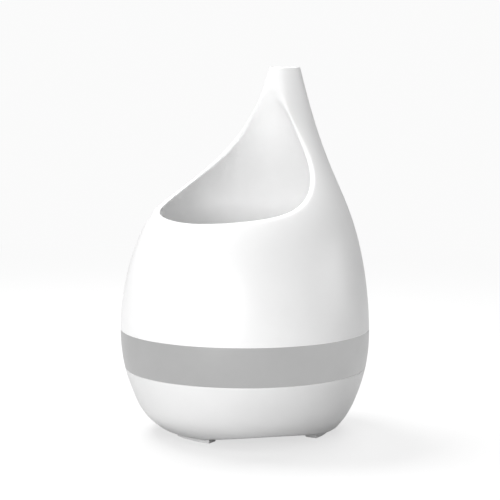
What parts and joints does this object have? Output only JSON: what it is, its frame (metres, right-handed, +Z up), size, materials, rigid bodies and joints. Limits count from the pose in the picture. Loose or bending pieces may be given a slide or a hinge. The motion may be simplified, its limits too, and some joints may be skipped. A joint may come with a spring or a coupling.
{
  "type": "cool mist humidifier",
  "caption": "Teardrop tabletop cool mist humidifier: slanted scoop opening under an off-centre neck, translucent grey light band, rounded base on short arc feet.",
  "frame": {"origin": "on the table under the middle of the body's widest level", "axes": "+Z up towards the neck, -Y towards the front that the scoop opens to, +Y towards the neck, controls and inlet at the back"},
  "size_m": [0.1694, 0.1694, 0.248],
  "materials": {
    "white": "satin white moulded plastic",
    "liner": "satin white moulded plastic, smooth inner bowl",
    "pad": "soft light grey rubber",
    "band": "grey translucent diffusing plastic, satin",
    "basin": "semi-clear satin plastic",
    "seal": "pale silicone rubber",
    "ceramic": "plated ceramic disc, dull silver",
    "clamp": "dark grey moulded plastic",
    "steel": "zinc-plated steel",
    "fan": "black glass-filled plastic",
    "stator": "varnished copper winding",
    "board": "green solder mask over glass-fibre board",
    "parts": "black and dark grey component bodies",
    "sink": "extruded aluminium, clear anodised",
    "white_board": "white solder mask ring board",
    "led": "white surface-mount lamp with pale phosphor",
    "button": "satin white moulded plastic",
    "jack": "black moulded connector",
    "wire": "red insulated wire",
    "wire2": "white insulated wire",
    "float": "foamed white plastic",
    "magnet": "dark sintered ring magnet",
    "sensor": "glass capsule"
  },
  "bodies": {
    "base": {"base_shell": "white", "bottom_cover": "white", "foot_pads": "pad", "light_band": "band", "reservoir": "basin", "reservoir_seal": "seal", "transducer_seal": "seal", "transducer_disc": "ceramic", "transducer_clamp": "clamp", "transducer_screws": "steel", "fan_housing": "fan", "fan_stator": "stator", "fan_screws": "steel", "air_duct": "clamp", "driver_board": "board", "board_components": "parts", "heat_sink": "sink", "board_screws": "steel", "led_board": "white_board", "leds": "led", "button_board": "board", "button_switches": "parts", "dc_jack": "jack", "base_screws": "steel", "power_lead": "wire", "control_lead": "wire2", "transducer_lead": "wire2", "float_clip": "white", "level_sensor": "sensor"},
    "cover": {"cover_shell": "white", "scoop_liner": "liner", "mist_nozzle": "white", "cover_ring": "white"},
    "fan_rotor": {"fan_rotor": "fan"},
    "float": {"float_ring": "float", "float_magnet": "magnet"},
    "mist_button": {"mist_button": "button"},
    "light_button": {"light_button": "button"}
  },
  "joints": [
    {"name": "cover_lift", "type": "slide", "parent": "base", "child": "cover", "axis": [0, 0, 1], "range_m": [0, 0.08]},
    {"name": "fan_spin", "type": "hinge", "parent": "base", "child": "fan_rotor", "pos_m": [0, 0.03, 0.019], "axis": [0, 0, 1], "continuous": true},
    {"name": "float_rise", "type": "slide", "parent": "base", "child": "float", "axis": [0, 0, 1], "range_m": [0, 0.0075]},
    {"name": "mist_press", "type": "slide", "parent": "base", "child": "mist_button", "axis": [0, -1, 0], "range_m": [0, 0.001], "stiffness_N_per_m": 600},
    {"name": "light_press", "type": "slide", "parent": "base", "child": "light_button", "axis": [0, -1, 0], "range_m": [0, 0.001], "stiffness_N_per_m": 600}
  ]
}
